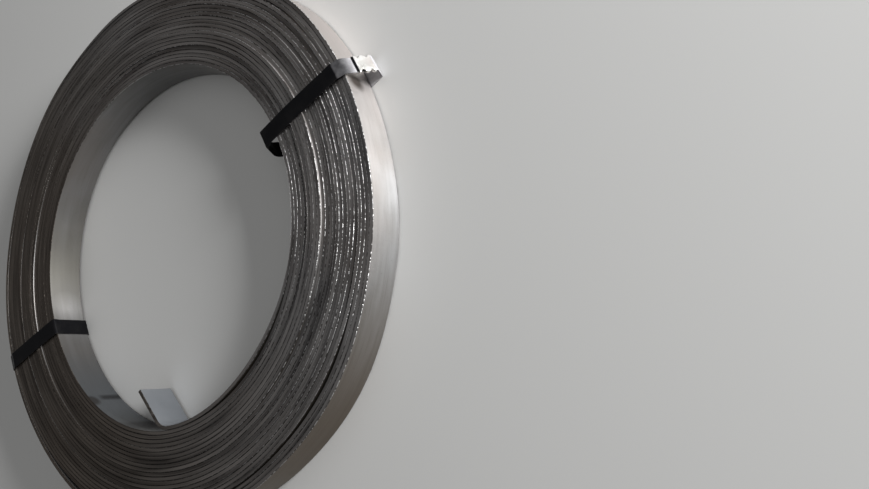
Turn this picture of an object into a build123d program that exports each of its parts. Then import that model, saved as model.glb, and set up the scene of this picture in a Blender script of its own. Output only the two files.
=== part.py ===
from build123d import *
import os
from math import cos, degrees, radians, sin, sqrt

# Coil of galvanised flat steel strip, lying on one end, tied by two steel straps.
# Millimetres. +Z up, origin on the floor under the middle of the coil.

# The strip and its winding
strip_width = 40.0
strip_thickness = 4.0
turn_gap = 0.18
bore_radius = 196.0

# The turns from the bore outwards: how many lie in each group, how far the group stands up
# from the middle level of the coil, and how much lower every second turn of it sits. The
# turns of the high group and of the outermost one lie level.
group_turns = [2, 3, 3, 2, 3, 2, 3, 3, 2]
group_rise = [0.4, -0.4, 1.6, 0.2, -0.6, -1.2, -1.5, -0.9, -2.0]
group_step = [0.5, 0.4, 0.0, 0.4, 0.4, 0.4, 0.4, 0.5, 0.0]

# The free inner end of the strip, bent off the innermost turn into the bore
tail_angle = 198.5
tail_bend = 55.0
tail_bend_radius = 20.0
tail_straight = 43.0

# The free outer end: past the second strap the outermost turn springs off the coil
spring_clearance = 5.0
spring_radius = 321.0
spring_sweep = 34.0

# The straps: one hardened band each, laid round the wall of the coil and lapped on the outside
strap_width = 19.0
strap_thickness = 0.8
strap_fit = 0.1
strap_bend = 1.4
strap_angles = [-50.7, 126.0]
lap_below_seal = 1.6
lap_above_seal = 2.0

# Each strap in the bore: its corners as distance from the wall, depth below its run over the
# coil, and bend, and how far from the wall it leaves the floor. The first strap hangs slack.
bore_corners = [
    [(-21.6, 0.0, 20.0), (15.5, 1.8, 2.5), (25.0, 25.0, 14.0)],
    [(1.6, 0.0, 2.6), (0.0, 8.0, 2.6)],
]
floor_reach = [11.0, 0.0]
floor_bend = [6.0, 1.8]

# Each strap outside the wall: its lean, and how far below its seal it turns back to the floor,
# with the reach from the wall where it gets there
seal_tilts = [31.0, 8.0]
lean_bend = 4.0
knee_drop = [4.0, 3.0]
knee_bend = 2.0
foot_reach = [14.0, 4.4]

# The seals crimped over the lapped ends, on the leaning stretch, each so far down it. The first
# strap leans out from the rim itself, the second so far below it that its seal ends at a height.
seal_drop = [14.0, 4.0]
seal_height = 9.41
seal_length = 17.6
seal_thickness = 0.9
crimp_depth = 2.2
crimp_spread = 9.0

# Values that follow
pitch = strip_thickness + turn_gap
turns = sum(group_turns)
outer_radius = bore_radius + turns * pitch - turn_gap
rest_level = strap_thickness + strap_fit
group_of_turn = [group for group, count in enumerate(group_turns) for turn in range(count)]
first_of_group = [sum(group_turns[:group]) for group in range(len(group_turns))]


def turn_rise(turn):
    """How far a turn stands up from the middle level of the coil."""
    group = group_of_turn[turn]
    is_low = (turn - first_of_group[group]) % 2 == 1
    return group_rise[group] - (group_step[group] if is_low else 0.0)


rises = [turn_rise(turn) for turn in range(turns)]
middle_level = rest_level - min(rises)
turn_feet = [middle_level + rise for rise in rises]
turn_tops = [foot + strip_width for foot in turn_feet]
highest_top = max(turn_tops)


def turn_edge(turn):
    """Radius at which a turn begins: its neighbour's outer face, or the bore."""
    return bore_radius + turn * pitch


def end_corners(levels):
    """Corners of one end of the wall, with one ledge for each run of turns at the same level."""
    corners = []
    for turn, level in enumerate(levels):
        if corners and corners[-1][1] == level:
            corners.pop()
        else:
            corners.append((turn_edge(turn), level))
        corners.append((outer_radius if turn == turns - 1 else turn_edge(turn + 1), level))
    return corners


def pair_foot(pair):
    """Level on which two neighbouring groups stand: that of their lowest turn."""
    return min(foot for turn, foot in enumerate(turn_feet) if group_of_turn[turn] // 2 == pair)


# The coil is one turned solid. Its upper end steps wherever a turn sits off its neighbour's
# level. On its underside the groups stand level in pairs.
pair_feet = [pair_foot(group_of_turn[turn] // 2) for turn in range(turns)]
upper_end = end_corners(turn_tops)
under_end = end_corners(pair_feet)

# The inner end: a strip-thick band that leaves the innermost turn and turns towards the middle
root = turn_edge(0) + strip_thickness / 2
tail_root = Vector(root, 0).rotate(Axis.Z, tail_angle)
tail_heading = tail_angle - 90

# The outer end: a like band that leaves the outermost turn just past the second strap
spring_line = outer_radius - strip_thickness / 2
spring_angle = strap_angles[-1] + degrees((strap_width / 2 + spring_clearance) / spring_line)
spring_root = Vector(spring_line, 0).rotate(Axis.Z, spring_angle)

with BuildPart() as strip_coil:
    with BuildSketch(Plane.XZ) as wall_section:
        with BuildLine():
            Polyline(*upper_end, *reversed(under_end), close=True)
        make_face()
    revolve(axis=Axis.Z)
    with BuildSketch(Plane.XY.offset(turn_feet[0])) as tail_section:
        with BuildLine() as tail_line:
            bend = JernArc(
                start=tail_root,
                tangent=Vector(1, 0).rotate(Axis.Z, tail_heading),
                radius=tail_bend_radius,
                arc_size=-tail_bend,
            )
            Line(bend @ 1, bend @ 1 + (bend % 1) * tail_straight)
        trace(line_width=strip_thickness)
    extrude(amount=strip_width)
    with BuildSketch(Plane.XY.offset(turn_feet[-1])) as spring_section:
        with BuildLine() as spring_arc:
            JernArc(
                start=spring_root,
                tangent=Vector(0, 1).rotate(Axis.Z, spring_angle),
                radius=spring_radius,
                arc_size=spring_sweep,
            )
        trace(line_width=strip_thickness)
    extrude(amount=strip_width)

strip_coil.part.label = "strip_coil"


# The straps run up the outside, over the upper end, down the bore and back under the coil.
# The second end laps over the first, and the seal holds both.
wall_room = strap_fit + seal_thickness + strap_fit
wall_line = outer_radius + wall_room + strap_thickness / 2
ply_step = strap_thickness + strap_fit
bore_reach = sqrt(bore_radius ** 2 - (strap_width / 2) ** 2)
bore_line = bore_reach - strap_fit - strap_thickness / 2
over_line = highest_top + strap_fit + strap_thickness / 2
under_line = strap_thickness / 2
shoulder_radius = turn_edge(first_of_group[-1])
rim_line = turn_tops[-1] + strap_fit + strap_thickness / 2
seal_reach = (seal_drop[-1] + seal_length) * cos(radians(seal_tilts[-1]))
lean_drop = [0.0, rim_line - seal_height - seal_reach]

# The widest bend inside the strap that still clears the sharp rim of the outermost turn
rim_bend = wall_room + strap_fit + sqrt(2 * wall_room * strap_fit)
corner = min(strap_bend, rim_bend) + strap_thickness / 2


def leaning(number, down, out):
    """Point on the leaning stretch of a strap: down it from its start, and out from its inner ply."""
    lean = radians(seal_tilts[number])
    return (
        wall_line + down * sin(lean) + out * cos(lean),
        rim_line - lean_drop[number] - down * cos(lean) + out * sin(lean),
    )


def strap_path(number):
    """Corners of a strap's middle line in the radial plane, from its hidden end to its lapped
    end, and the bends at all but the two ends."""
    seal_top = seal_drop[number]
    seal_end = seal_top + seal_length
    path = [leaning(number, seal_end + lap_below_seal, 0)]
    bends = []
    if lean_drop[number] > 0:
        path.append(leaning(number, 0, 0))
        bends.append(lean_bend)
    path += [(wall_line, rim_line), (shoulder_radius, over_line)]
    bends += [corner, corner]
    for reach, depth, bend in bore_corners[number]:
        path.append((bore_line - reach, over_line - depth))
        bends.append(bend)
    path.append((bore_line - floor_reach[number], under_line))
    path.append((wall_line + foot_reach[number], under_line))
    path.append(leaning(number, seal_end + knee_drop[number], ply_step))
    bends += [floor_bend[number], corner, knee_bend]
    path.append(leaning(number, seal_top - lap_above_seal, ply_step))
    return path, bends


def radial_plane(angle):
    """Plane through the axis: its x runs outwards and its y runs up."""
    outwards = Vector(1, 0).rotate(Axis.Z, angle)
    across = Vector(0, -1).rotate(Axis.Z, angle)
    return Plane(origin=(0, 0, 0), x_dir=outwards, z_dir=across)


straps = []
for number, angle in enumerate(strap_angles):
    path, bends = strap_path(number)
    with BuildPart() as strap:
        with BuildSketch(radial_plane(angle)) as band:
            with BuildLine():
                FilletPolyline(*path, radius=bends)
            trace(line_width=strap_thickness)
        extrude(amount=strap_width / 2, both=True)
    straps.append(strap)

# The seals are sleeves round both plies, with two crimps bitten into each long edge
sleeve_depth = 2 * strap_thickness + 3 * strap_fit
sleeve_width = strap_width + 2 * strap_fit
sleeve_middle = ply_step / 2
sleeve_inside = sleeve_middle - sleeve_depth / 2 - seal_thickness
crimp_size = crimp_depth * sqrt(2)


def seal_plane(number, down, out, faces_out):
    """Plane at a point of the leaning stretch that faces out of the coil or up along the strap."""
    tilt = seal_tilts[number]
    radial = radial_plane(strap_angles[number])
    foot = radial.from_local_coords(Vector(*leaning(number, down, out)))
    outwards = radial.x_dir.rotate(Axis((0, 0, 0), radial.z_dir), tilt)
    climbing = radial.y_dir.rotate(Axis((0, 0, 0), radial.z_dir), tilt)
    if faces_out:
        return Plane(origin=foot, x_dir=-radial.z_dir, z_dir=outwards)
    return Plane(origin=foot, x_dir=outwards, z_dir=climbing)


seals = []
for number, seal_top in enumerate(seal_drop):
    with BuildPart() as seal:
        foot_plane = seal_plane(number, seal_top + seal_length, sleeve_middle, False)
        with BuildSketch(foot_plane) as sleeve:
            RectangleRounded(
                sleeve_depth + 2 * seal_thickness,
                sleeve_width + 2 * seal_thickness,
                seal_thickness,
            )
            Rectangle(sleeve_depth, sleeve_width, mode=Mode.SUBTRACT)
        extrude(amount=seal_length)
        back_plane = seal_plane(number, seal_top + seal_length / 2, sleeve_inside, True)
        with BuildSketch(back_plane) as crimps:
            with GridLocations(sleeve_width + 2 * seal_thickness, crimp_spread, 2, 2):
                Rectangle(crimp_size, crimp_size, rotation=45)
        extrude(amount=sleeve_depth + 2 * seal_thickness, mode=Mode.SUBTRACT)
    seals.append(seal)

os.makedirs("parts", exist_ok=True)
export_step(strip_coil.part, "parts/strip_coil.step")
for number, (strap, seal) in enumerate(zip(straps, seals), start=1):
    strap.part.label = f"strap_{number}"
    seal.part.label = f"strap_seal_{number}"
    export_step(strap.part, f"parts/strap_{number}.step")
    export_step(seal.part, f"parts/strap_seal_{number}.step")
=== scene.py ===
from math import atan2, ceil, cos, pi, radians, sin, tan, tau

import bpy
import numpy as np
from mathutils import Matrix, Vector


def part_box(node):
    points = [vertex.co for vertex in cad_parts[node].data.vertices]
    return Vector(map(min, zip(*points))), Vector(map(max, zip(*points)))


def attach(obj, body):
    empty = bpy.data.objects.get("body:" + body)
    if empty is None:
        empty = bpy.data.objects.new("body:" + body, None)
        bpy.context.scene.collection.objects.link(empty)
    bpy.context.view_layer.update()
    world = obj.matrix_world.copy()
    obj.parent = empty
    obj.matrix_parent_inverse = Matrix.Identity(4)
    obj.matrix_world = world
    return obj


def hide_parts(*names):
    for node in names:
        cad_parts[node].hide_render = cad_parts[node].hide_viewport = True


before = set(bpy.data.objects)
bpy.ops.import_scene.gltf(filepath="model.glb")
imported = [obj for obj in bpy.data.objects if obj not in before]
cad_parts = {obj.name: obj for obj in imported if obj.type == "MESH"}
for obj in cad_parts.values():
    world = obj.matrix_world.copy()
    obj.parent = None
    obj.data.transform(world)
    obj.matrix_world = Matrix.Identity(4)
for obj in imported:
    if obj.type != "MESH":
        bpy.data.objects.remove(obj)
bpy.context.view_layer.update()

# The strip and its winding, in metres and radians, as the frame has them. A bearing is an
# angle seen from above, counter-clockwise from +X. The strip starts at its free inner end
# and winds outwards counter-clockwise. Its outermost turn keeps a little room inside the solid.
COIL_LOW, COIL_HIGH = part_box("strip_coil")
OUTER_ROOM = 0.00006
OUTER_RADIUS = COIL_HIGH.x - OUTER_ROOM
BORE_RADIUS = 0.196
STRIP_WIDTH = 0.040
STRIP_THICKNESS = 0.004
LAYERS = 23
TIGHT_ROOM = OUTER_RADIUS - BORE_RADIUS - LAYERS * STRIP_THICKNESS
STATIONS_PER_TURN = 216

# Each turn lies round its layer and climbs to the next one on the last part of its way. It
# changes to the next one's level before that, on the part between two shares of the turn.
CLIMB_START = 0.82
LEVEL_CHANGE = (0.35, 0.80)

# How far each turn stands above or below the middle level of the coil, in millimetres from
# the bore outwards: on the photographed side, and on the far side one turn further on
LOWEST_DROP = 0.0020
MIDDLE_FOOT = COIL_LOW.z + LOWEST_DROP
NEAR_LEVELS = [0.2, -0.1, -0.4, -0.7, -1.0, 1.3, 1.4, 1.3, 1.2, -1.1, -1.6, -1.6]
NEAR_LEVELS += [-1.8, -0.7, -1.1, -1.7, -0.8, -1.3, -1.9, -1.1, -1.6, -2.0, -2.0, -2.0]
FAR_LEVELS = [-0.8, -0.8, -0.8, -1.0, -0.7, -0.8, -0.9, -0.9, -1.0, 0.5, 0.9, -0.2]
FAR_LEVELS += [-0.6, -0.9, -1.2, -1.6, -0.9, -1.1, -1.3, -1.3, -1.5, -1.7, -1.8, -1.2]
NEAR_BEARING = -65.0
LEVEL_WOBBLE = 0.00008
LEVEL_WAVES = (2, 9)

# Where the coil bulges between its straps, or is drawn in: bearing and reach in degrees,
# and height in metres at the outermost layer
BULGES = [
    (-27.0, 19.0, 0.0028),
    (25.0, 25.0, 0.0045),
    (55.0, 22.0, 0.0022),
    (92.0, 26.0, -0.0016),
    (249.0, 22.0, 0.0026),
    (294.0, 18.0, -0.0016),
]

# Where the loose room between the layers gathers: number of the layer outside the gap,
# bearing and reach in degrees, and how many times an even share the gap takes there
GAPS = [
    (20, 239.0, 36.0, 24.0),
    (20, 328.0, 20.0, 7.0),
    (18, 323.0, 20.0, 5.0),
    (18, 252.0, 20.0, 2.0),
    (19, 265.0, 14.0, 5.0),
    (17, 293.0, 13.0, 3.0),
    (15, 287.0, 18.0, 4.0),
    (11, 38.0, 32.0, 4.0),
    (13, 182.0, 22.0, 4.0),
    (2, 184.0, 16.0, 3.0),
    (3, 180.0, 18.0, 3.0),
    (4, 188.0, 14.0, 2.0),
    (22, 30.0, 30.0, 4.0),
]
GAP_UNEVENNESS = 0.35
GAP_WAVES = (3, 12)

# The innermost turn sags into the bore beyond its free end: bearing, reach and depth
SAG = (237.0, 36.0, 0.0028)

# The free inner end: where it leaves the wall of the bore, its bend and its straight part
TAIL_ANGLE = radians(198.5)
TAIL_BEND = radians(55)
TAIL_BEND_RADIUS = 0.020
TAIL_BEND_STEPS = 16
TAIL_STRAIGHT = 0.043
TAIL_STEPS = 12

# The free outer end, which springs off on a wider arc
SPRING_ANGLE = radians(128.865)
SPRING_RADIUS = 0.321
SPRING_SWEEP = radians(34)
SPRING_STEPS = 24

# The strip's section: radii of its upper and lower corners, and the bevel of its cut ends,
# which is at most a share of what a band is thick
UPPER_CORNER = 0.0006
LOWER_CORNER = 0.0004
END_BEVEL = 0.0004
END_BEVEL_SHARE = 0.3
CORNER_STEPS = 3

# Where a turn stands this far above its neighbour, the corner between them is rubbed bright and
# painted as a glint. A level one is worn less, and so are the lower corners. The wear starts at
# a share of itself where a corner leaves the flat. Painted shade in the grooves thins out by a
# power on the way up.
PROUD = 0.0007
LEVEL_WEAR = 0.32
LOWER_WEAR = 0.4
STRIP_WEAR_START = 0.5
STRAP_WEAR_START = 0.6
GROOVE_FALL = 0.6

# The wall of the bore is drawn darker from the tail's bend on, and the tail is drawn as clean
# zinc, lighter and bluish, partly a painted reflection, up to a few stations before it. Both
# change over so many stations.
FADE_STATIONS = 10
FREE_SHORT = 8

# The straps: one band each, lapped on the outside under its seal
STRAP_WIDTH = 0.019
STRAP_THICKNESS = 0.0008
STRAP_CORNER = 0.00028
STRAP_FIT = 0.0001
STRAP_BEND = 0.0018
LEAN_BEND = 0.004
KNEE_BEND = 0.002
STRAP_STEP = 0.001
ARC_STEP = radians(7)
LAP_BELOW_SEAL = 0.0008
LAP_ABOVE_SEAL = 0.0020
PLY_STEP = STRAP_THICKNESS + STRAP_FIT

# The seals: sleeves of folded sheet with a gap between their lips. Their sheet is drawn a
# little thinner than it is.
SEAL_LENGTH = 0.0176
SEAL_THICKNESS = 0.0009
SEAL_BEND = 0.0009
SHEET_SHARE = 0.86
LIP_GAP = 0.0016
SEAL_STEP = 0.0004
SEAL_ROWS = 60

# Lines that the middle of a strap follows, as radius or height. In the bore it keeps off the
# wall by its fit, half its thickness and the bow of the wall across its width.
FACE_LEVEL = COIL_LOW.z + STRIP_WIDTH
WALL_LINE = OUTER_RADIUS + 2 * STRAP_FIT + SEAL_THICKNESS + STRAP_THICKNESS / 2
RIM_LINE = FACE_LEVEL + STRAP_FIT + STRAP_THICKNESS / 2
BORE_ROOM = 0.00073
BORE_LINE = BORE_RADIUS - BORE_ROOM
FLOOR_LINE = STRAP_THICKNESS / 2
SHOULDER_RADIUS = 0.2838

# Each strap's own measures. Inside the bore it has its corners as distance from the wall,
# depth below its run over the coil, and bend; the first strap hangs slack there. Outside it
# leans away from the wall, and turns back to the floor at a knee below its seal.
SLACK_STRAP = {
    "bearing": -50.7,
    "over": 0.0041,
    "bore": [(-0.0216, 0.0, 0.020), (0.0155, 0.0018, 0.0025), (0.0250, 0.0250, 0.014)],
    "floor_reach": 0.011,
    "floor_bend": 0.006,
    "rim_bend": 0.005,
    "lean": 31.0,
    "lean_drop": 0.0,
    "seal_drop": 0.0140,
    "knee_drop": 0.0022,
    "foot_reach": 0.0140,
}
TIGHT_STRAP = {
    "bearing": 126.0,
    "over": 0.0036,
    "bore": [(0.0016, 0.0, 0.0026), (0.0, 0.008, 0.0026)],
    "floor_reach": 0.0,
    "floor_bend": 0.0018,
    "rim_bend": 0.0018,
    "lean": 8.0,
    "lean_drop": 0.0106,
    "seal_drop": 0.0040,
    "knee_drop": 0.0030,
    "foot_reach": 0.0044,
}

# The straps aren't quite straight: they ripple off their line, and drift sideways. Each wave
# has its size, and how often it runs at the least and at the most.
RIPPLE = 0.00003
RIPPLE_WAVES = (3, 11)
DRIFT = 0.00012
DRIFT_WAVES = (1, 4)

# Painted sheen on a strap's outer face: a faint one that reaches past the rim over the coil,
# and a strong one that grows from near the rim down the leaning stretch
FAINT_SHEEN = 0.15
FAINT_SHEEN_PAST_RIM = 0.0105
FAINT_SHEEN_FADE = 0.002
STRONG_SHEEN_PAST_RIM = 0.001
STRONG_SHEEN_GROWTH = 0.0135

# Painted light near the lapped end: sheen on the outer face round the knee, and lighter grey on
# the inner face where it leaves the floor. Each has its start and end from the lapped end, and its
# fades.
KNEE_SHEEN = (LAP_ABOVE_SEAL, 0.045, 0.006, 0.010)
FOOT_PAINTED_LIGHT = (0.030, 0.052, 0.003, 0.004)

# The crimps: two at each long edge of a seal, bent in through the straps' edges. Each presses
# a tab out of the sheet, which sinks on the outer side and rises on the inner one. The tab's
# edge and the slope of the bite are shares of the tab's width.
CRIMP_SPREAD = 0.009
CRIMP_DEPTH = 0.0022
CRIMP_REACH = 0.0038
CRIMP_TAB = 0.0038
TAB_EDGE = 0.14
TAB_SINK = 0.0007
TAB_RISE = 0.0003
TAB_GROWTH = 3.0
BITE_SLOPE = 0.6

# Painted shade in the crimps: how it starts along a tab's edge, how fast it grows with the bite
# there and on the seal's sides, and how much of it the lower crimps have
SHADE_EDGE = 0.12
SHADE_START = 0.4
SHADE_GROWTH = 4.0
SIDE_SHADE_GROWTH = 1.6
LOWER_SHADE = 0.3

# Marks, painted light and painted shade on the flats. A patch has a bearing and a reach in
# degrees. A spot has its bearing in degrees, and its radius, height and reach in metres.
# On the outer wall: a browner part with painted shade, a pinkish part with painted light, and the
# painted shadow of the first strap under its seal
BROWN_SHADED_PATCH = (-128.0, 40.0)
PINK_LIT_PATCH = (-34.0, 32.0)
STRAP_SHADOW_UNDER_SEAL = (-52.9, OUTER_RADIUS, 0.026, 0.013)
# In the bore: painted light, painted shade and a painted highlight, which shape how bright the wall is
# round its bearing
PAINTED_LIGHT_PATCH = (62.0, 42.0)
PAINTED_SHADE_PATCH = (104.0, 15.0)
PAINTED_SHADE_PAST_STRAP = (188.0, 26.0)
PAINTED_HIGHLIGHT_SPOT = (119.0, BORE_RADIUS, 0.022, 0.024)
# Then a yellowish part, a bluish painted reflection, a dark spot and a dark streak, and the painted
# shadow of the free end
YELLOWISH_PATCH = (100.0, 24.0)
BLUISH_REFLECTION_PATCH = (160.0, 24.0)
DARK_SPOT = (159.7, BORE_RADIUS, 0.041, 0.012)
STREAK = (158.2, 1.7)
STREAK_TOP = (0.024, 0.031)
TAIL_SHADOW = (195.0, 20.0)
TAIL_SHADOW_TOP = (0.026, 0.044)

# The lit side of the coil's end, where its edges are drawn lighter as painted light, and the
# darker lower end of the first seal
PAINTED_LIT_SIDE = (-50.0, 140.0)
SEAL_LOWER_END = (SLACK_STRAP["bearing"], 0.309, 0.013, 0.012)

# The strip's UV map: how many rows it has, the share of the width they take, and their margin.
# Then how tall the parts of the strip's section are in a row, against a part of an upper
# corner. The first and the last rows, whose flats are in view, have taller ones.
UV_ROWS = 24
UV_STRIP_SHARE = 0.985
UV_MARGIN = 2.0
UV_UPPER_EDGE = 8.0
UV_LOWER_EDGE = 3.0
UV_LOWER_CORNER = 0.5
UV_HIDDEN_FLAT = 1.5
UV_SHOWN_FLAT = 22.0
UV_SHOWN_ROWS = 2
UV_CAP_SHARE = 0.4

# The camera, placed from the middle of the coil's upper end
CAMERA_BEARING = radians(-90.46)
CAMERA_REACH = 0.7288
CAMERA_RISE = 0.5615
VIEW_BEARING = radians(84.76)
VIEW_TILT = radians(33.64)
VIEW_ROLL = radians(-77.75)
SENSOR_WIDTH = 36.0
LENS = 33.32

# The light: one large lamp low on the photographed side, in a dim room, brighter overhead
KEY_BEARING = radians(-56)
KEY_ELEVATION = radians(11)
KEY_DISTANCE = 2.8
KEY_SIZE = 1.06
KEY_POWER = 141.0
ROOM_LOW = 0.05
ROOM_HIGH = 0.45
ROOM_RISE = 2.2

# The floor's width, and the seed of everything random
FLOOR_SIZE = 12
SEED = 7
random = np.random.default_rng(SEED)


class Shader:
    """A node material under construction."""

    def __init__(self, name):
        self.material = bpy.data.materials.new(name)
        self.material.use_nodes = True
        self.tree = self.material.node_tree
        self.surface = self.tree.nodes["Principled BSDF"]

    def feed(self, socket, value):
        """Link a socket's value, or set a plain one."""
        if isinstance(value, bpy.types.NodeSocket):
            self.tree.links.new(value, socket)
        elif isinstance(value, tuple) and len(value) == 3 and socket.type == "RGBA":
            socket.default_value = (*value, 1)
        else:
            socket.default_value = value

    def node(self, kind, inputs, **settings):
        made = self.tree.nodes.new(kind)
        for name, value in settings.items():
            setattr(made, name, value)
        for key, value in inputs.items():
            self.feed(made.inputs[key], value)
        return made

    def math(self, operation, first, second):
        return self.node("ShaderNodeMath", {0: first, 1: second}, operation=operation).outputs[0]

    def product(self, first, second):
        return self.math("MULTIPLY", first, second)

    def total(self, first, second):
        return self.math("ADD", first, second)

    def spread(self, value, low, high, to_low=0.0, to_high=1.0):
        """The value moved from one range to another, held inside it."""
        inputs = {
            "Value": value,
            "From Min": low,
            "From Max": high,
            "To Min": to_low,
            "To Max": to_high,
        }
        return self.node("ShaderNodeMapRange", inputs).outputs["Result"]

    def mix(self, factor, first, second):
        inputs = {"Factor": factor, "A": first, "B": second}
        made = self.tree.nodes.new("ShaderNodeMix")
        made.data_type = "RGBA"
        for socket in made.inputs:
            if socket.enabled and socket.name in inputs:
                self.feed(socket, inputs[socket.name])
        return next(socket for socket in made.outputs if socket.enabled)

    def noise(self, vector, scale, detail=2.0, roughness=0.5, w=None):
        inputs = {"Vector": vector, "Scale": scale, "Detail": detail, "Roughness": roughness}
        dimensions = "3D"
        if w is not None:
            inputs["W"] = w
            dimensions = "4D"
        return self.node("ShaderNodeTexNoise", inputs, noise_dimensions=dimensions).outputs["Fac"]

    def attribute(self, name):
        return self.node("ShaderNodeAttribute", {}, attribute_name=name).outputs["Fac"]

    def bump(self, height, strength, distance, below=None):
        inputs = {"Height": height, "Strength": strength, "Distance": distance}
        if below is not None:
            inputs["Normal"] = below
        return self.node("ShaderNodeBump", inputs).outputs["Normal"]

    def coordinates(self):
        """The place on the object."""
        return self.node("ShaderNodeTexCoord", {}).outputs["Object"]

    def place(self):
        """The object's own X, Y and Z."""
        return self.node("ShaderNodeSeparateXYZ", {0: self.coordinates()}).outputs

    def across_axis(self):
        """Vector from the coil's axis to the place."""
        place = self.place()
        return self.node("ShaderNodeCombineXYZ", {"X": place["X"], "Y": place["Y"]}).outputs[0]

    def vector_math(self, operation, first, second=(0.0, 0.0, 0.0)):
        return self.node("ShaderNodeVectorMath", {0: first, 1: second}, operation=operation).outputs

    def radius(self):
        """Distance from the coil's axis."""
        return self.vector_math("LENGTH", self.across_axis())["Value"]

    def patch(self, bearing, reach):
        """1 at a bearing on the coil, falling to 0 a reach away. Both in degrees."""
        heading = self.vector_math("NORMALIZE", self.across_axis())["Vector"]
        aim = (cos(radians(bearing)), sin(radians(bearing)), 0.0)
        along = self.vector_math("DOT_PRODUCT", heading, aim)["Value"]
        return self.spread(along, cos(radians(reach)), 1.0)

    def spot(self, bearing, radius, height, reach):
        """1 at a place on the coil, falling to 0 a reach away. The bearing is in degrees."""
        aim = (radius * cos(radians(bearing)), radius * sin(radians(bearing)), height)
        away = self.vector_math("DISTANCE", self.coordinates(), aim)["Value"]
        return self.spread(away, 0.0, reach, 1.0, 0.0)

    def strip_noise(self, slow, fine, detail, roughness):
        """Noise that changes slowly round the coil, and fast across the strip and from turn to turn."""
        place = self.place()
        x = self.product(place["X"], slow)
        y = self.product(place["Y"], slow)
        z = self.product(place["Z"], fine)
        vector = self.node("ShaderNodeCombineXYZ", {"X": x, "Y": y, "Z": z}).outputs[0]
        return self.noise(vector, 1.0, detail, roughness, self.product(self.radius(), fine))

    def finish(self, **values):
        """Set the Principled shader's sockets, whose names are given with underscores."""
        for name, value in values.items():
            self.feed(self.surface.inputs[name.replace("_", " ")], value)
        return self.material


def outer_wall_tints_and_light(shader, colour, cloud):
    """The flats' colour with what is on the outer wall: a browner part darkened as painted shade,
    a pinkish part lightened as painted light, and the painted shadow of the first strap under
    the first seal."""
    # A browner tint, and painted shade on the side away from the lamp
    brown_and_shade = shader.product(shader.patch(*BROWN_SHADED_PATCH), 0.85)
    colour = shader.mix(brown_and_shade, colour, (0.130, 0.097, 0.064))
    # A pinkish tint, and painted light on the lit side
    pink_and_light = shader.product(shader.patch(*PINK_LIT_PATCH), 0.8)
    colour = shader.mix(pink_and_light, colour, (0.74, 0.685, 0.66))
    # Painted shadow of the first strap on the wall under its seal
    strap_shadow = shader.spread(shader.spot(*STRAP_SHADOW_UNDER_SEAL), 0.0, 0.6)
    strap_shadow = shader.product(strap_shadow, shader.spread(cloud, 0.3, 0.6, 0.7, 1.0))
    return shader.mix(strap_shadow, colour, (0.10, 0.080, 0.066))


def darker_bore_wall(shader, colour):
    """The flats' colour as it is in the bore: darker, by more or less round the wall, which is
    painted light and painted shade, with a painted highlight near the second strap.
    """
    # Painted light and painted shade: the wall is darkened less on one side and more on others, and
    # lightened at a painted highlight
    darkening = shader.math("SUBTRACT", 0.62, shader.product(shader.patch(*PAINTED_LIGHT_PATCH), 0.3))
    darkening = shader.total(darkening, shader.product(shader.patch(*PAINTED_SHADE_PATCH), 0.34))
    darkening = shader.total(darkening, shader.product(shader.patch(*PAINTED_SHADE_PAST_STRAP), 0.22))
    painted_highlight = shader.product(shader.spot(*PAINTED_HIGHLIGHT_SPOT), 0.5)
    darkening = shader.math("SUBTRACT", darkening, painted_highlight)
    return shader.mix(darkening, colour, (0.10, 0.10, 0.097))


def bore_wall_tints_and_shade(shader, colour, cloud):
    """The colour of the bore's wall with what is on it: a yellowish part, a bluish painted
    reflection, a dark spot and a dark streak, and the painted shadow of the free end beside it."""
    height = shader.place()["Z"]
    yellowish = shader.product(shader.patch(*YELLOWISH_PATCH), 0.35)
    colour = shader.mix(yellowish, colour, (0.20, 0.185, 0.15))
    # Painted reflection of the free end: a bluish part
    bluish_reflection = shader.product(shader.patch(*BLUISH_REFLECTION_PATCH), 0.6)
    colour = shader.mix(bluish_reflection, colour, (0.165, 0.190, 0.215))
    dark_spot = shader.product(shader.spot(*DARK_SPOT), cloud)
    dark_spot = shader.spread(dark_spot, 0.05, 0.30, 0.0, 0.8)
    colour = shader.mix(dark_spot, colour, (0.050, 0.042, 0.039))
    streak = shader.product(shader.patch(*STREAK), shader.spread(height, *STREAK_TOP, 0.8, 0.0))
    colour = shader.mix(streak, colour, (0.035, 0.033, 0.034))
    # Painted shadow of the free end on the wall beside it, weaker towards the top
    painted_shade = shader.spread(shader.patch(*TAIL_SHADOW), 0.0, 0.25)
    painted_shade = shader.product(painted_shade, shader.spread(height, *TAIL_SHADOW_TOP, 0.85, 0.25))
    return shader.mix(painted_shade, colour, (0.030, 0.027, 0.028))


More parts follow.
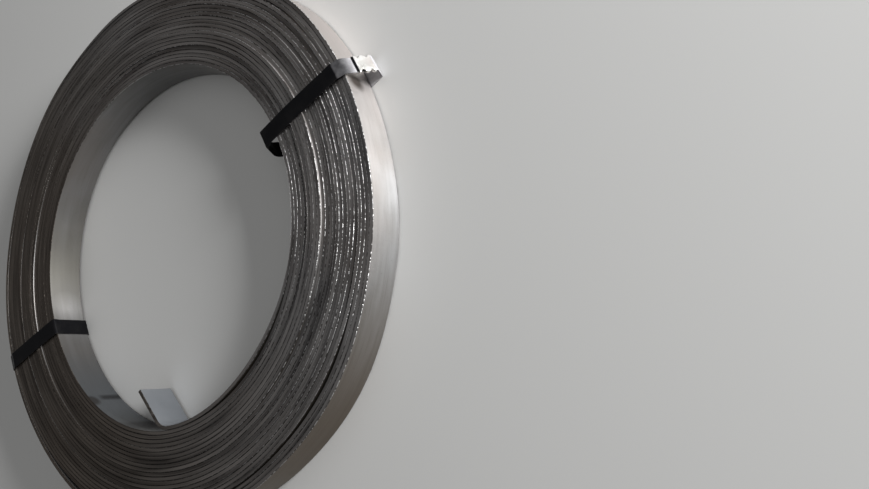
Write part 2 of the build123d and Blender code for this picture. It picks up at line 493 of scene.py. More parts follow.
def strip_flats():
    """Galvanised flats: satin zinc rolled in streaks, mottled and speckled, stained in places."""
    shader = Shader("galvanised_flats")
    place = shader.coordinates()
    streaks = shader.strip_noise(3.0, 420.0, 3.0, 0.6)
    bands = shader.strip_noise(14.0, 110.0, 2.0, 0.5)
    cloud = shader.noise(place, 9.0, 4.0, 0.6)
    grain = shader.noise(place, 420.0, 2.0, 0.6)
    speck = shader.noise(place, 650.0, 3.0, 0.7)
    stain = shader.noise(place, 5.0, 3.0, 0.55)

    colour = shader.mix(shader.spread(bands, 0.3, 0.7), (0.33, 0.325, 0.32), (0.45, 0.45, 0.455))
    colour = shader.mix(shader.spread(streaks, 0.55, 0.75, 0.0, 0.5), colour, (0.21, 0.20, 0.19))
    colour = shader.mix(shader.spread(cloud, 0.5, 0.75, 0.0, 0.4), colour, (0.54, 0.54, 0.54))
    colour = shader.mix(shader.spread(stain, 0.45, 0.70, 0.0, 0.6), colour, (0.33, 0.27, 0.23))
    colour = shader.mix(shader.spread(speck, 0.64, 0.72, 0.0, 0.5), colour, (0.12, 0.11, 0.10))
    colour = outer_wall_tints_and_light(shader, colour, cloud)
    in_bore = bore_wall_tints_and_shade(shader, darker_bore_wall(shader, colour), cloud)
    colour = shader.mix(shader.attribute("bore_wall"), colour, in_bore)
    # The free end: clean zinc, lighter and bluish, partly a painted reflection
    clean_and_reflecting = shader.mix(shader.spread(cloud, 0.3, 0.7), (0.36, 0.385, 0.42), (0.52, 0.54, 0.57))
    colour = shader.mix(shader.attribute("free"), colour, clean_and_reflecting)

    roughness = shader.spread(streaks, 0.3, 0.7, 0.38, 0.46)
    roughness = shader.total(roughness, shader.spread(cloud, 0.3, 0.7, 0.0, 0.06))
    normal = shader.bump(streaks, 0.25, 0.0002)
    normal = shader.bump(grain, 0.15, 0.00015, normal)
    return shader.finish(
        Base_Color=colour,
        Metallic=0.9,
        Roughness=roughness,
        Anisotropic=0.6,
        Anisotropic_Rotation=0.25,
        Normal=normal,
    )


def dusty_edge_lit_side(shader, side):
    """Colour of an edge of the strip without its wear: greyer and lighter on the lit side, as
    painted light, and darker and browner elsewhere, as a browner tone and painted shade.
    """
    lines = shader.strip_noise(6.0, 800.0, 3.0, 0.65)
    tone = shader.strip_noise(9.0, 170.0, 2.0, 0.5)
    stain = shader.noise(shader.coordinates(), 6.0, 3.0, 0.55)
    shade = shader.spread(shader.total(shader.product(lines, 0.6), tone), 0.6, 1.0)
    grey = shader.mix(shade, (0.062, 0.060, 0.062), (0.292, 0.283, 0.281))
    warm = shader.mix(shade, (0.036, 0.029, 0.024), (0.138, 0.119, 0.103))
    colour = shader.mix(side, warm, grey)
    colour = shader.mix(shader.spread(stain, 0.42, 0.68, 0.0, 0.4), colour, (0.100, 0.079, 0.064))
    return colour, lines


def strip_edges():
    """Edges of the strip, which make up the coil's ends: matt and dusty, with corners drawn bright
    in broken lines by wear and painted glints, and painted shade beside them and in the grooves."""
    shader = Shader("galvanised_edges")
    place = shader.coordinates()
    wear = shader.strip_noise(34.0, 300.0, 3.0, 0.6)
    beads = shader.noise(place, 420.0, 1.0, 0.5)
    grain = shader.noise(place, 900.0, 2.0, 0.6)
    corner = shader.attribute("corner")
    # Painted light: on the lit side the edges are drawn lighter and greyer, and their wear brighter
    side = shader.patch(*PAINTED_LIT_SIDE)

    colour, lines = dusty_edge_lit_side(shader, side)
    # Wear and painted glints: the corners are drawn bright in broken lines, most on the lit side
    broken = shader.total(shader.product(wear, 0.5), shader.product(beads, 0.5))
    rubbed_and_lit = shader.product(corner, shader.spread(side, 0.0, 1.0, 0.3, 1.0))
    wear_and_glint = shader.product(shader.spread(broken, 0.462, 0.518), rubbed_and_lit)
    glint_colour = shader.mix(shader.spread(side, 0.0, 0.5), (0.46, 0.40, 0.345), (0.88, 0.87, 0.87))
    colour = shader.mix(wear_and_glint, colour, glint_colour)
    # Painted shade on the corners where they aren't drawn bright
    painted_corner_shade = shader.product(shader.math("SUBTRACT", corner, wear_and_glint), 0.6)
    colour = shader.mix(painted_corner_shade, colour, (0.020, 0.018, 0.016))
    # Painted shade in the grooves between turns that lie level
    painted_groove_shade = shader.product(shader.attribute("groove"), shader.spread(side, 0.0, 1.0, 0.65, 1.0))
    colour = shader.mix(painted_groove_shade, colour, (0.008, 0.007, 0.006))

    metallic = shader.spread(wear_and_glint, 0.0, 1.0, 0.80, 0.75)
    roughness = shader.spread(wear_and_glint, 0.0, 1.0, 0.52, 0.34)
    normal = shader.bump(lines, 0.3, 0.0002)
    normal = shader.bump(grain, 0.2, 0.00015, normal)
    normal = shader.bump(shader.product(beads, corner), 1.0, 0.0016, normal)
    return shader.finish(Base_Color=colour, Metallic=metallic, Roughness=roughness, Normal=normal)


def strap_black():
    """Black waxed strapping, painted grey as sheen where it bends over the rim and leans out."""
    shader = Shader("strap_black")
    place = shader.coordinates()
    dust = shader.noise(place, 60.0, 4.0, 0.6)
    cloud = shader.noise(place, 150.0, 3.0, 0.6)
    grain = shader.noise(place, 700.0, 2.0, 0.5)

    dusty = shader.spread(dust, 0.45, 0.8, 0.0, 0.5)
    black = shader.mix(dusty, (0.003, 0.003, 0.004), (0.014, 0.013, 0.013))
    grey = shader.mix(shader.spread(cloud, 0.3, 0.7), (0.36, 0.355, 0.37), (0.50, 0.495, 0.51))
    painted_sheen = shader.total(shader.attribute("painted_sheen"), shader.spread(cloud, 0.3, 0.7, -0.03, 0.03))
    # Painted sheen: the black is drawn grey by the attribute
    colour = shader.mix(shader.spread(painted_sheen, 0.03, 1.0), black, grey)
    edge = shader.product(shader.attribute("corner"), shader.spread(cloud, 0.45, 0.65, 0.1, 0.8))
    colour = shader.mix(edge, colour, (0.060, 0.056, 0.053))

    normal = shader.bump(grain, 0.2, 0.00015)
    normal = shader.bump(cloud, 0.1, 0.0004, normal)
    return shader.finish(
        Base_Color=colour,
        Metallic=0.06,
        Roughness=shader.spread(dust, 0.35, 0.7, 0.34, 0.50),
        Specular_IOR_Level=0.11,
        Normal=normal,
    )


def seal_zinc():
    """Bright zinc-plated sheet, with painted shade in the creases of its crimps."""
    shader = Shader("seal_zinc")
    place = shader.coordinates()
    cloud = shader.noise(place, 120.0, 3.0, 0.6)
    grain = shader.noise(place, 900.0, 2.0, 0.5)
    colour = shader.mix(shader.spread(cloud, 0.35, 0.7), (0.76, 0.75, 0.715), (0.93, 0.925, 0.91))
    colour = shader.mix(shader.spot(*SEAL_LOWER_END), colour, (0.56, 0.50, 0.47))
    # Painted shade in the creases of the crimps
    colour = shader.mix(shader.attribute("crease"), colour, (0.010, 0.009, 0.008))
    roughness = shader.spread(cloud, 0.3, 0.7, 0.26, 0.42)
    normal = shader.bump(grain, 0.15, 0.0001)
    return shader.finish(Base_Color=colour, Metallic=0.75, Roughness=roughness, Normal=normal)


def floor_paint():
    shader = Shader("floor_paint")
    return shader.finish(Base_Color=(0.62, 0.62, 0.61), Roughness=0.85)


def ease(value):
    """Smooth step from 0 to 1."""
    value = np.clip(value, 0, 1)
    return value * value * (3 - 2 * value)


def stretch(along, start, end, rise, fall):
    """1 between two places along something, easing in and out just inside them."""
    return ease((along - start) / rise) * ease((end - along) / fall)


def swell(bearing, centre, reach):
    """1 at the centre bearing, falling smoothly to 0 a reach away. All in degrees."""
    away = np.abs((bearing - centre + 180) % 360 - 180)
    return 0.5 + 0.5 * np.cos(pi * np.clip(away / reach, 0, 1))


def wobble(bearing, columns, slowest, fastest):
    """Smooth random waves round the coil, about 1 high: a table with a row for each bearing and
    a wave in each column."""
    waves = np.zeros((len(bearing), columns))
    counts = range(slowest, fastest + 1)
    for count in counts:
        phase = random.uniform(0, tau, columns)
        height = random.normal(0, 1, columns)
        waves += height * np.sin(np.radians(bearing)[:, None] * count + phase)
    return waves / np.sqrt(len(counts))


def layer_radii(bearing):
    """Radius of each layer's middle line at each bearing."""
    room = np.full(len(bearing), TIGHT_ROOM)
    for centre, reach, height in BULGES:
        room += height * swell(bearing, centre, reach)
    shares = np.exp(GAP_UNEVENNESS * wobble(bearing, LAYERS - 1, *GAP_WAVES))
    for layer, centre, reach, weight in GAPS:
        shares[:, layer - 1] += weight * swell(bearing, centre, reach)
    gaps = room[:, None] * shares / shares.sum(1, keepdims=True)
    radii = np.zeros((len(bearing), LAYERS))
    radii[:, 1:] = np.cumsum(gaps + STRIP_THICKNESS, 1)
    radii += BORE_RADIUS + STRIP_THICKNESS / 2
    centre, reach, depth = SAG
    radii[:, 0] -= depth * swell(bearing, centre, reach)
    return radii


def layer_feet(bearing):
    """Level of each turn's lower edge at each bearing, and of the one that would come next."""
    nearness = 0.5 + 0.5 * np.cos(np.radians(bearing - NEAR_BEARING))[:, None]
    level = np.array(NEAR_LEVELS) * nearness + np.array(FAR_LEVELS) * (1 - nearness)
    return MIDDLE_FOOT + level / 1000 + LEVEL_WOBBLE * wobble(bearing, LAYERS + 1, *LEVEL_WAVES)


def between_layers(table, place):
    """Value for each station at its place between two columns of a table."""
    low = np.minimum(np.floor(place).astype(int), table.shape[1] - 2)
    part = place - low
    row = np.arange(len(place))
    return table[row, low] * (1 - part) + table[row, low + 1] * part


def wound_part():
    """Middle line and foot level of the wound strip, from the tail's bend to the free outer end."""
    end = (SPRING_ANGLE - TAIL_ANGLE) / tau + LAYERS
    count = round(end * STATIONS_PER_TURN)
    turned = np.linspace(0, end, count + 1)
    bearing = np.degrees(TAIL_ANGLE + turned * tau)
    layer = np.floor(turned)
    gone = turned - layer
    place = layer + ease((gone - CLIMB_START) / (1 - CLIMB_START))
    change_start, change_end = LEVEL_CHANGE
    level = layer + ease((gone - change_start) / (change_end - change_start))
    around = bearing % 360
    radius = between_layers(layer_radii(around), np.minimum(place, LAYERS - 1))
    foot = between_layers(layer_feet(around), level)
    angle = np.radians(bearing)
    outwards = np.stack([np.cos(angle), np.sin(angle)], 1)
    return outwards * radius[:, None], foot


def arc_points(start, heading, radius, sweep, count):
    """Points of an arc that goes on from a start, without the start. A positive sweep turns left."""
    side = 1 if sweep > 0 else -1
    centre = start + radius * side * np.array([-sin(heading), cos(heading)])
    turned = np.linspace(0, sweep, count + 1)[1:]
    angle = heading - side * pi / 2 + turned
    return centre + radius * np.stack([np.cos(angle), np.sin(angle)], 1)


def strip_path():
    """Middle line of the whole strip from its inner to its outer end, its foot levels, and how
    many stations its free inner end has."""
    wound, foot = wound_part()
    leaving = TAIL_ANGLE - pi / 2
    bend = arc_points(wound[0], leaving, TAIL_BEND_RADIUS, -TAIL_BEND, TAIL_BEND_STEPS)
    heading = leaving - TAIL_BEND
    reach = np.linspace(0, TAIL_STRAIGHT, TAIL_STEPS + 1)[1:]
    straight = bend[-1] + reach[:, None] * np.array([cos(heading), sin(heading)])
    tail = np.concatenate([bend, straight])[::-1]
    springing = SPRING_ANGLE + pi / 2
    spring = arc_points(wound[-1], springing, SPRING_RADIUS, SPRING_SWEEP, SPRING_STEPS)
    points = np.concatenate([tail, wound, spring])
    feet = np.concatenate([np.full(len(tail), foot[0]), foot, np.full(len(spring), foot[-1])])
    return points, feet, len(tail)


def rounded_section(half, low, high, upper_corner, lower_corner):
    """Corners of a rounded section and their normals: its upper corners, then its lower ones."""
    offsets = []
    normals = []
    for across, up, start in ((1, 1, 0), (-1, 1, 1), (-1, 0, 2), (1, 0, 3)):
        corner = upper_corner if up else lower_corner
        middle = (across * (half - corner), high - corner if up else low + corner)
        for step in range(CORNER_STEPS + 1):
            angle = (start + step / CORNER_STEPS) * pi / 2
            offsets.append((middle[0] + corner * cos(angle), middle[1] + corner * sin(angle)))
            normals.append((cos(angle), sin(angle)))
    return np.array(offsets), np.array(normals)


def bevelled_ends(values):
    """The rows of a table with the first and the last one doubled, for the bevels there."""
    return np.concatenate([values[:1], values, values[-1:]])


def sweep_band(name, centres, sides, ups, section, narrowing=None):
    """A band as one mesh: a section carried along a line of centres, with bevelled ends. Its
    section lies along sides and ups, and may be narrowed at each centre."""
    offsets, section_normals = section
    along = np.gradient(centres, axis=0)
    along /= np.linalg.norm(along, axis=1)[:, None]
    if narrowing is None:
        narrowing = np.zeros(len(centres))
    tables = (centres, sides, ups, along, narrowing)
    centres, sides, ups, along, narrowing = map(bevelled_ends, tables)
    centres[1] += along[1] * END_BEVEL
    centres[-2] -= along[-2] * END_BEVEL

    count = len(centres)
    around = len(offsets)
    inset = np.zeros(count)
    inset[[0, -1]] = min(END_BEVEL, np.ptp(offsets, axis=0).min() * END_BEVEL_SHARE)
    across = offsets[None, :, 0] - np.sign(offsets[:, 0]) * (inset + narrowing)[:, None]
    middle = offsets[:, 1].mean()
    up = offsets[None, :, 1] - np.sign(offsets[:, 1] - middle) * inset[:, None]
    verts = centres[:, None] + sides[:, None] * across[..., None] + ups[:, None] * up[..., None]
    normals = sides[:, None] * section_normals[None, :, :1]
    normals = normals + ups[:, None] * section_normals[None, :, 1:]
    normals[0] = (normals[0] - along[0]) / 2 ** 0.5
    normals[-1] = (normals[-1] + along[-1]) / 2 ** 0.5

    index = np.arange(count * around).reshape(count, around)
    beside = np.roll(index, -1, 1)
    quads = np.stack([index[:-1], index[1:], beside[1:], beside[:-1]], -1).reshape(-1, 4)
    faces = quads.tolist() + [index[0].tolist(), index[-1][::-1].tolist()]
    mesh = bpy.data.meshes.new(name)
    mesh.from_pydata(verts.reshape(-1, 3).tolist(), [], faces)
    mesh.polygons.foreach_set("use_smooth", [True] * len(quads) + [False] * 2)
    loop_normals = [normals.reshape(-1, 3)[quads.ravel()]]
    loop_normals += [np.tile(-along[0], (around, 1)), np.tile(along[-1], (around, 1))]
    mesh.normals_split_custom_set(np.concatenate(loop_normals).tolist())
    return mesh


def add_attribute(mesh, name, rings):
    """Give each corner of a band a value, from a table with a row for each ring before bevels."""
    values = bevelled_ends(rings).ravel().astype(np.float32)
    mesh.attributes.new(name, "FLOAT", "POINT").data.foreach_set("value", values)


def add_object(name, mesh, *materials):
    mesh.update()
    made = bpy.data.objects.new(name, mesh)
    bpy.context.scene.collection.objects.link(made)
    for material in materials:
        made.data.materials.append(material)
    return made


def wear_over_corner(start):
    """Wear at the points of a rounded corner, from its side to its top, beginning at a share."""
    return np.array([start] + [1.0] * (CORNER_STEPS - 1) + [0.0])


def corner_wear(feet):
    """How much wear each upper corner of the strip has, which also sets its painted glint and shade:
    most where it stands above its neighbour. Goes from 0 to 1, for the inner and the outer corner."""
    inner = np.ones(len(feet))
    outer = np.ones(len(feet))
    inner[STATIONS_PER_TURN:] = (feet[STATIONS_PER_TURN:] - feet[:-STATIONS_PER_TURN]) / PROUD
    outer[:-STATIONS_PER_TURN] = (feet[:-STATIONS_PER_TURN] - feet[STATIONS_PER_TURN:]) / PROUD
    return ease(inner)[:, None], ease(outer)[:, None]


def sweep_strip(name):
    """The strip as one mesh, with what its materials need: how much wear each place has, where
    painted glints and painted shade go, and which places are the bore's wall and the free end."""
    points, feet, tail = strip_path()
    count = len(points)
    flat = np.zeros((count, 3))
    flat[:, :2] = points
    flat[:, 2] = feet
    tangent = np.gradient(points, axis=0)
    tangent /= np.linalg.norm(tangent, axis=1)[:, None]
    sides = np.stack([tangent[:, 1], -tangent[:, 0], np.zeros(count)], 1)
    ups = np.tile([0.0, 0.0, 1.0], (count, 1))
    section = rounded_section(STRIP_THICKNESS / 2, 0, STRIP_WIDTH, UPPER_CORNER, LOWER_CORNER)
    mesh = sweep_band(name, flat, sides, ups, section)

    around = len(section[0])
    steps = CORNER_STEPS + 1
    inner_wear, outer_wear = corner_wear(feet)
    rounding = wear_over_corner(STRIP_WEAR_START)
    corner = np.full((count, around), LOWER_WEAR)
    corner[:, :steps] = (LEVEL_WEAR + (1 - LEVEL_WEAR) * outer_wear) * rounding
    corner[:, steps:2 * steps] = (LEVEL_WEAR + (1 - LEVEL_WEAR) * inner_wear) * rounding[::-1]
    add_attribute(mesh, "corner", corner)

    # Painted shade fills the grooves between turns that lie level
    depth = np.linspace(1, 0, steps) ** GROOVE_FALL
    groove = np.zeros((count, around))
    groove[:, :steps] = (1 - outer_wear) * depth
    groove[:, steps:2 * steps] = (1 - inner_wear) * depth[::-1]
    add_attribute(mesh, "groove", groove)

    # The inner flat of the innermost turn is the wall of the bore
    station = np.arange(count)
    in_bore = stretch(station, tail, tail + STATIONS_PER_TURN, FADE_STATIONS, FADE_STATIONS)
    bore_wall = np.zeros((count, around))
    bore_wall[:, steps:3 * steps] = in_bore[:, None]
    add_attribute(mesh, "bore_wall", bore_wall)
    free = 1 - ease((station - tail + FREE_SHORT) / FADE_STATIONS)
    add_attribute(mesh, "free", np.tile(free[:, None], (1, around)))

    # Material 0 on the two flats, 1 on the rounded edges between them and on the cut ends
    is_flat = np.zeros(around, bool)
    is_flat[[2 * steps - 1, around - 1]] = True
    of_quads = np.tile(np.where(is_flat, 0, 1), count + 1)
    mesh.polygons.foreach_set("material_index", np.append(of_quads, [1, 1]).astype(np.int32))
    lay_out_strip(mesh, count + 2, around)
    return add_object(name, mesh, strip_flats(), strip_edges())


def row_heights(around):
    """How tall each part of the section is in each row of the UV map."""
    steps = CORNER_STEPS + 1
    slim = np.ones(around)
    slim[steps - 1] = UV_UPPER_EDGE
    slim[2 * steps:] = UV_LOWER_CORNER
    slim[3 * steps - 1] = UV_LOWER_EDGE
    flats = [2 * steps - 1, around - 1]
    slim[flats] = UV_HIDDEN_FLAT
    tall = slim.copy()
    tall[flats] = UV_SHOWN_FLAT
    heights = np.tile(slim, (UV_ROWS, 1))
    heights[:UV_SHOWN_ROWS] = tall
    heights[-UV_SHOWN_ROWS:] = tall
    return heights


def lay_out_strip(mesh, rings, around):
    """A UV map for the strip, whose rows of stations lie above each other, with its two ends
    beside them."""
    heights = row_heights(around)
    length = ceil((rings - 1) / UV_ROWS)
    quads = np.arange(rings - 1)
    row = quads // length
    left = (quads % length) / length * UV_STRIP_SHARE
    right = left + UV_STRIP_SHARE / length
    bounds = np.concatenate([[0], np.cumsum(heights.sum(1) + UV_MARGIN)])
    lows = bounds[:-1, None] + np.cumsum(heights, 1) - heights
    low = lows[row] / bounds[-1]
    high = (lows + heights)[row] / bounds[-1]
    corners = np.zeros((rings - 1, around, 4, 2))
    for corner, (side, level) in enumerate(((left, low), (right, low), (right, high), (left, high))):
        corners[..., corner, 0] = side[:, None]
        corners[..., corner, 1] = level
    angle = np.arange(around) / around * tau
    circle = np.stack([np.cos(angle), np.sin(angle)], 1) * (1 - UV_STRIP_SHARE) * UV_CAP_SHARE
    middle = (1 + UV_STRIP_SHARE) / 2
    caps = [circle + (middle, level) for level in (0.25, 0.75)]
    layout = np.concatenate([corners.reshape(-1, 2)] + caps)
    mesh.uv_layers.new(name="OFBake").data.foreach_set("uv", layout.ravel().astype(np.float32))


def rounded_run(corners, widest_step):
    """Points of a line that goes from corner to corner and takes its bends: each corner is a
    place in the plane and a bend."""
    line = [np.array(corners[0][:2])]
    for before, here, after in zip(corners, corners[1:], corners[2:]):
        arriving = np.subtract(here[:2], before[:2])
        leaving = np.subtract(after[:2], here[:2])
        heading = atan2(arriving[1], arriving[0])
        turn = (atan2(leaving[1], leaving[0]) - heading + pi) % tau - pi
        cut = here[2] * tan(abs(turn) / 2)
        start = np.array(here[:2]) - cut * np.array([cos(heading), sin(heading)])
        steps = max(2, ceil(abs(turn) / ARC_STEP))
        line += [start, *arc_points(start, heading, here[2], turn, steps)]
    line.append(np.array(corners[-1][:2]))
    points = [line[0]]
    for start, end in zip(line, line[1:]):
        steps = max(1, ceil(np.linalg.norm(end - start) / widest_step))
        points += [start + (end - start) * step / steps for step in range(1, steps + 1)]
    return np.array(points)


def leaning(strap, down, out):
    """Place on a strap's leaning stretch: down it from its start, and out from its inner ply."""
    lean = radians(strap["lean"])
    return (
        WALL_LINE + down * sin(lean) + out * cos(lean),
        RIM_LINE - strap["lean_drop"] - down * cos(lean) + out * sin(lean),
    )


def strap_corners(strap):
    """Corners of a strap in the radial plane, from its hidden end to its lapped end, with bends."""
    over = FACE_LEVEL + strap["over"]
    seal_end = strap["seal_drop"] + SEAL_LENGTH
    corners = [(*leaning(strap, seal_end + LAP_BELOW_SEAL, 0), 0)]
    if strap["lean_drop"] > 0:
        corners.append((*leaning(strap, 0, 0), LEAN_BEND))
    corners.append((WALL_LINE, RIM_LINE, strap["rim_bend"]))
    corners.append((SHOULDER_RADIUS, over, strap["rim_bend"]))
    corners += [(BORE_LINE - reach, over - depth, bend) for reach, depth, bend in strap["bore"]]
    corners.append((BORE_LINE - strap["floor_reach"], FLOOR_LINE, strap["floor_bend"]))
    corners.append((WALL_LINE + strap["foot_reach"], FLOOR_LINE, STRAP_BEND))
    corners.append((*leaning(strap, seal_end + strap["knee_drop"], PLY_STEP), KNEE_BEND))
    corners.append((*leaning(strap, strap["seal_drop"] - LAP_ABOVE_SEAL, PLY_STEP), 0))
    return corners


def crimp_bite(along):
    """How far a crimp has bitten in, from 0 to 1, at each distance along from a seal's middle."""
    away = np.abs(np.abs(along) - CRIMP_SPREAD / 2)
    return np.clip(1 - away / CRIMP_REACH, 0, 1)


def gentle_wave(height, count, slowest, fastest):
    """Smooth random wave of a given number of points and about a given height."""
    at = np.linspace(0, tau, count)
    wave = np.zeros(count)
    for turns in range(slowest, fastest + 1):
        wave += random.normal(0, 1) * np.sin(at * turns + random.uniform(0, tau))
    return wave / (fastest - slowest + 1) ** 0.5 * height


def strap_axes(strap):
    """Directions at a strap: outwards from the coil's axis, sideways round it, and up."""
    bearing = radians(strap["bearing"])
    outwards = np.array([cos(bearing), sin(bearing), 0.0])
    sideways = np.array([-sin(bearing), cos(bearing), 0.0])
    return outwards, sideways, np.array([0.0, 0.0, 1.0])


def sweep_strap(name, strap, material):
    """A strap as one mesh: its band carried round the wall of the coil."""
    line = rounded_run(strap_corners(strap), STRAP_STEP)
    count = len(line)
    outwards, sideways, upwards = strap_axes(strap)
    direction = np.gradient(line, axis=0)
    direction /= np.linalg.norm(direction, axis=1)[:, None]
    normal = np.stack([direction[:, 1], -direction[:, 0]], 1)
    line = line - normal * np.abs(gentle_wave(RIPPLE, count, *RIPPLE_WAVES))[:, None]
    drift = gentle_wave(DRIFT, count, *DRIFT_WAVES)
    centres = line[:, :1] * outwards + drift[:, None] * sideways + line[:, 1:] * upwards
    ups = normal[:, :1] * outwards + normal[:, 1:] * upwards
    sides = np.tile(sideways, (count, 1))

    step = np.linalg.norm(np.diff(line, axis=0), axis=1)
    from_start = np.concatenate([[0], np.cumsum(step)])
    from_end = from_start[-1] - from_start
    bite = crimp_bite(from_start - LAP_BELOW_SEAL - SEAL_LENGTH / 2)
    bite = np.maximum(bite, crimp_bite(from_end - LAP_ABOVE_SEAL - SEAL_LENGTH / 2))
    half = STRAP_THICKNESS / 2
    section = rounded_section(STRAP_WIDTH / 2, -half, half, STRAP_CORNER, STRAP_CORNER)
    mesh = sweep_band(name, centres, sides, ups, section, bite * CRIMP_DEPTH)

    # The outer face is painted grey as sheen from the rim down the leaning stretch, and round the
    # knee. The inner face is painted lighter where it leaves the floor.
    rim = SEAL_LENGTH + LAP_BELOW_SEAL + strap["seal_drop"] + strap["lean_drop"]
    before_rim = rim - from_start
    lean_sheen = FAINT_SHEEN * ease((before_rim + FAINT_SHEEN_PAST_RIM) / FAINT_SHEEN_FADE)
    grown = np.clip((before_rim + STRONG_SHEEN_PAST_RIM) / STRONG_SHEEN_GROWTH, 0, 1)
    lean_sheen += (1 - FAINT_SHEEN) * grown ** 2
    outer_face = np.where(from_end < from_start, stretch(from_end, *KNEE_SHEEN), lean_sheen)
    around = len(section[0])
    painted_sheen = np.zeros((count, around))
    painted_sheen[:, :around // 2] = outer_face[:, None]
    painted_sheen[:, around // 2:] = stretch(from_end, *FOOT_PAINTED_LIGHT)[:, None]
    add_attribute(mesh, "painted_sheen", painted_sheen)
    rounding = wear_over_corner(STRAP_WEAR_START)
    corner = np.concatenate([rounding, rounding[::-1]] * 2)
    add_attribute(mesh, "corner", np.tile(corner, (count, 1)))
    return add_object(name, mesh, material)


def seal_outline():
    """Middle line of the seal's sheet across the strap, from one lip to the other, as places
    across the strap and out from the middle of the seal."""
    half = STRAP_WIDTH / 2 + STRAP_FIT + SEAL_THICKNESS / 2
    depth = (2 * STRAP_THICKNESS + 3 * STRAP_FIT + SEAL_THICKNESS) / 2
    corners = [
        (LIP_GAP / 2, -depth, 0),
        (half, -depth, SEAL_BEND),
        (half, depth, SEAL_BEND),
        (-half, depth, SEAL_BEND),
        (-half, -depth, SEAL_BEND),
        (-LIP_GAP / 2, -depth, 0),
    ]
    return rounded_run(corners, SEAL_STEP)


def crimp_shade(out, inside, bite, on_side, along):
    """How much painted shade each place of a seal has: along the edges of its tabs, and on its bitten
    sides.
    """
    painted_shade = np.clip(inside / SHADE_EDGE + SHADE_START, 0, 1)
    painted_shade = np.where(out > 0, painted_shade, 0) * np.clip(bite * SHADE_GROWTH, 0, 1)
    painted_shade = np.where(on_side, np.clip(bite * SIDE_SHADE_GROWTH, 0, 1), painted_shade)
    return painted_shade * np.where(along < 0, 1.0, LOWER_SHADE)[:, None]


def fold_seal(name, strap, material):
    """A seal as one mesh: sheet folded round both plies, its crimps bent in at the long edges."""
    outline = seal_outline()
    along = np.linspace(-SEAL_LENGTH / 2, SEAL_LENGTH / 2, SEAL_ROWS + 1)
    bite = crimp_bite(along)[:, None]
    across = np.tile(outline[:, 0], (len(along), 1))
    out = np.tile(outline[:, 1], (len(along), 1))

    # A tab is as wide as the bite is deep there. Inside it, the sheet's sides are bent in, and
    # its two faces are pressed down and up.
    from_middle = np.abs(across)
    edge = STRAP_WIDTH / 2 + STRAP_FIT + SEAL_THICKNESS
    inside = (from_middle - edge + CRIMP_TAB * bite) / CRIMP_TAB
    on_side = from_middle > edge - SEAL_THICKNESS
    crease = crimp_shade(out, inside, bite, on_side, along)
    bent = bite * ease(inside / BITE_SLOPE) * (from_middle > edge - CRIMP_TAB)
    across = across - np.sign(across) * CRIMP_DEPTH * bent
    pressed = ease(inside / TAB_EDGE) * np.clip(bite * TAB_GROWTH, 0, 1)
    out = out - np.where(out > 0, TAB_SINK, -TAB_RISE) * pressed

    lean = radians(strap["lean"])
    outwards, sideways, upwards = strap_axes(strap)
    middle = leaning(strap, strap["seal_drop"] + SEAL_LENGTH / 2, PLY_STEP / 2)
    centre = middle[0] * outwards + middle[1] * upwards
    down_lean = sin(lean) * outwards - cos(lean) * upwards
    off_lean = cos(lean) * outwards + sin(lean) * upwards
    verts = centre + along[:, None, None] * down_lean
    verts = verts + across[..., None] * sideways + out[..., None] * off_lean

    columns = len(outline)
    index = np.arange(len(along) * columns).reshape(len(along), columns)
    quads = np.stack([index[:-1, :-1], index[1:, :-1], index[1:, 1:], index[:-1, 1:]], -1)
    quads = quads.reshape(-1, 4)
    mesh = bpy.data.meshes.new(name)
    mesh.from_pydata(verts.reshape(-1, 3).tolist(), [], quads.tolist())
    mesh.polygons.foreach_set("use_smooth", [True] * len(quads))
    values = crease.ravel().astype(np.float32)
    mesh.attributes.new("crease", "FLOAT", "POINT").data.foreach_set("value", values)
    seal = add_object(name, mesh, material)
    sheet = seal.modifiers.new("sheet", "SOLIDIFY")
    sheet.thickness = SEAL_THICKNESS * SHEET_SHARE
    sheet.offset = 0.0
    return seal


def place_camera():
    data = bpy.data.cameras.new("camera")
    data.sensor_width = SENSOR_WIDTH
    data.lens = LENS
    camera = bpy.data.objects.new("camera", data)
    bpy.context.scene.collection.objects.link(camera)
    camera.location = (
        CAMERA_REACH * cos(CAMERA_BEARING),
        CAMERA_REACH * sin(CAMERA_BEARING),
        FACE_LEVEL + CAMERA_RISE,
    )
    turn = Matrix.Rotation(VIEW_BEARING - pi / 2, 4, "Z")
    tilt = Matrix.Rotation(VIEW_TILT, 4, "X")
    roll = Matrix.Rotation(VIEW_ROLL, 4, "Z")
    camera.rotation_euler = (turn @ tilt @ roll).to_euler()
    bpy.context.scene.camera = camera


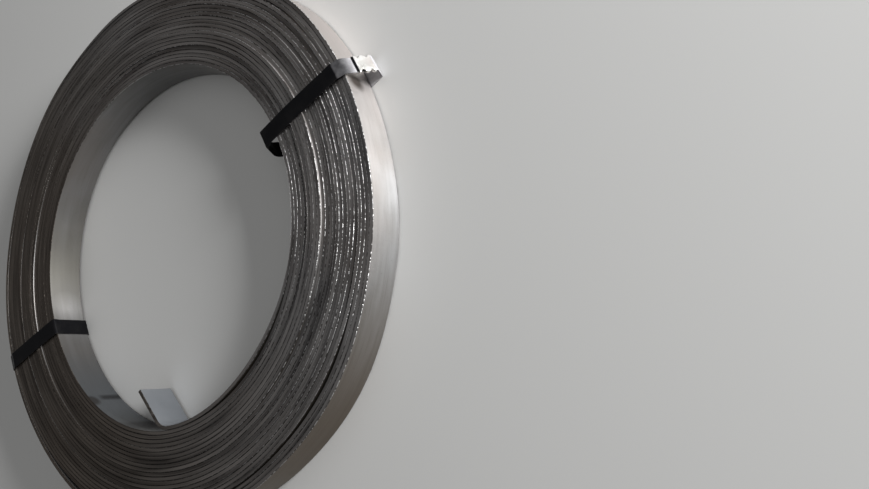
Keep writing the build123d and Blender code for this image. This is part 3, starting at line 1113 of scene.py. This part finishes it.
def light_room():
    """A dim room that gets brighter overhead by a power of the height."""
    world = bpy.data.worlds.new("room")
    world.use_nodes = True
    tree = world.node_tree
    background = tree.nodes["Background"]
    background.inputs["Color"].default_value = (1, 1, 1, 1)

    def chain(operation, first, *rest):
        made = tree.nodes.new("ShaderNodeMath")
        made.operation = operation
        tree.links.new(first, made.inputs[0])
        for number, value in enumerate(rest, start=1):
            made.inputs[number].default_value = value
        return made.outputs[0]

    heading = tree.nodes.new("ShaderNodeTexCoord").outputs["Generated"]
    parts = tree.nodes.new("ShaderNodeSeparateXYZ")
    tree.links.new(heading, parts.inputs[0])
    above = chain("MAXIMUM", parts.outputs["Z"], 0.0)
    steep = chain("POWER", above, ROOM_RISE)
    strength = chain("MULTIPLY_ADD", steep, ROOM_HIGH, ROOM_LOW)
    tree.links.new(strength, background.inputs["Strength"])
    bpy.context.scene.world = world


def place_key_lamp():
    data = bpy.data.lights.new("key", "AREA")
    data.size = KEY_SIZE
    data.energy = KEY_POWER
    key = bpy.data.objects.new("key", data)
    bpy.context.scene.collection.objects.link(key)
    level = KEY_DISTANCE * cos(KEY_ELEVATION)
    height = KEY_DISTANCE * sin(KEY_ELEVATION)
    key.location = (level * cos(KEY_BEARING), level * sin(KEY_BEARING), height)
    key.rotation_euler = (pi / 2 - KEY_ELEVATION, 0, KEY_BEARING + pi / 2)


def lay_floor():
    bpy.ops.mesh.primitive_plane_add(size=FLOOR_SIZE)
    floor = bpy.context.object
    floor.name = "floor"
    floor.data.materials.append(floor_paint())


bpy.context.scene.view_settings.view_transform = "Standard"
place_camera()
light_room()
place_key_lamp()
lay_floor()

strip = sweep_strip("wound_strip")
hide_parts("strip_coil")
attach(strip, "root")

black = strap_black()
zinc = seal_zinc()
for number, measures in enumerate((SLACK_STRAP, TIGHT_STRAP), start=1):
    band = sweep_strap(f"steel_strap_{number}", measures, black)
    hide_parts(f"strap_{number}")
    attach(band, "root")
    sleeve = fold_seal(f"crimped_seal_{number}", measures, zinc)
    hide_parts(f"strap_seal_{number}")
    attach(sleeve, "root")
